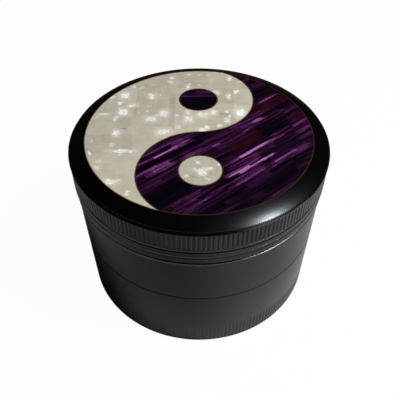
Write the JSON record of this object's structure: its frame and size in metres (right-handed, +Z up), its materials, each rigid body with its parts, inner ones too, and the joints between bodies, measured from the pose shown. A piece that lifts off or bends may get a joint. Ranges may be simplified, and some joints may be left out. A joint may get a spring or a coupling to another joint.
{
  "type": "herb grinder",
  "caption": "Round black hand grinder with a yin-yang inlaid lid that turns and lifts off, and grinding, sieve and catcher chambers that screw together.",
  "frame": {"origin": "centre of the flat underside of the catcher, on the axis", "axes": "+Z up along the axis of the grinder, -Y towards the viewer of the picture, +X to the viewer's right"},
  "size_m": [0.063, 0.063, 0.045],
  "materials": {
    "catcher_black": "black anodised, satin",
    "sieve_black": "black anodised, satin",
    "chamber_black": "black anodised, satin",
    "lid_black": "black anodised, bright-turned bevel and satin knurled skirt",
    "tooth_black": "black anodised, milled",
    "mesh_steel": "woven stainless wire",
    "ring_steel": "plain stainless",
    "magnet_nickel": "nickel plated",
    "nylon": "natural nylon",
    "adhesive": "adhesive film",
    "light_pearl": "white pearl laminate, gloss",
    "light_dot_pearl": "white pearl laminate, gloss",
    "dark_pearl": "purple pearl laminate, gloss",
    "dark_dot_pearl": "purple pearl laminate, gloss"
  },
  "bodies": {
    "base": {"catcher": "catcher_black"},
    "sieve_lift": {"sieve_retaining_ring": "ring_steel"},
    "sieve": {"sieve_chamber": "sieve_black", "sieve_mesh": "mesh_steel"},
    "chamber_lift": {"chamber_magnet": "magnet_nickel"},
    "chamber": {"grinding_chamber": "chamber_black", "chamber_teeth_outer": "tooth_black", "chamber_teeth_inner": "tooth_black"},
    "lid_carrier": {"lid_glide_ring": "nylon"},
    "lid": {"lid": "lid_black", "lid_teeth_outer": "tooth_black", "lid_teeth_inner": "tooth_black", "lid_magnet": "magnet_nickel", "inlay_adhesive": "adhesive", "inlay_light_field": "light_pearl", "inlay_dark_field": "dark_pearl", "inlay_dark_dot": "dark_dot_pearl", "inlay_light_dot": "light_dot_pearl"}
  },
  "joints": [
    {"name": "sieve_rise", "type": "slide", "parent": "base", "child": "sieve_lift", "axis": [0, 0, 1], "range_m": [0, 0.003]},
    {"name": "sieve_turn", "type": "hinge", "parent": "sieve_lift", "child": "sieve", "pos_m": [0, 0, 0], "axis": [0, 0, 1], "range_deg": [0, 720]},
    {"name": "chamber_rise", "type": "slide", "parent": "sieve", "child": "chamber_lift", "axis": [0, 0, 1], "range_m": [0, 0.003]},
    {"name": "chamber_turn", "type": "hinge", "parent": "chamber_lift", "child": "chamber", "pos_m": [0, 0, 0], "axis": [0, 0, 1], "range_deg": [0, 720]},
    {"name": "lid_lift", "type": "slide", "parent": "chamber", "child": "lid_carrier", "axis": [0, 0, 1], "range_m": [0, 0.03]},
    {"name": "lid_spin", "type": "hinge", "parent": "lid_carrier", "child": "lid", "pos_m": [0, 0, 0], "axis": [0, 0, 1], "continuous": true}
  ],
  "couplings": [
    {"joint": "sieve_turn", "follows": "sieve_rise", "rad_per_m": 4188.8},
    {"joint": "chamber_turn", "follows": "chamber_rise", "rad_per_m": 4188.8}
  ]
}
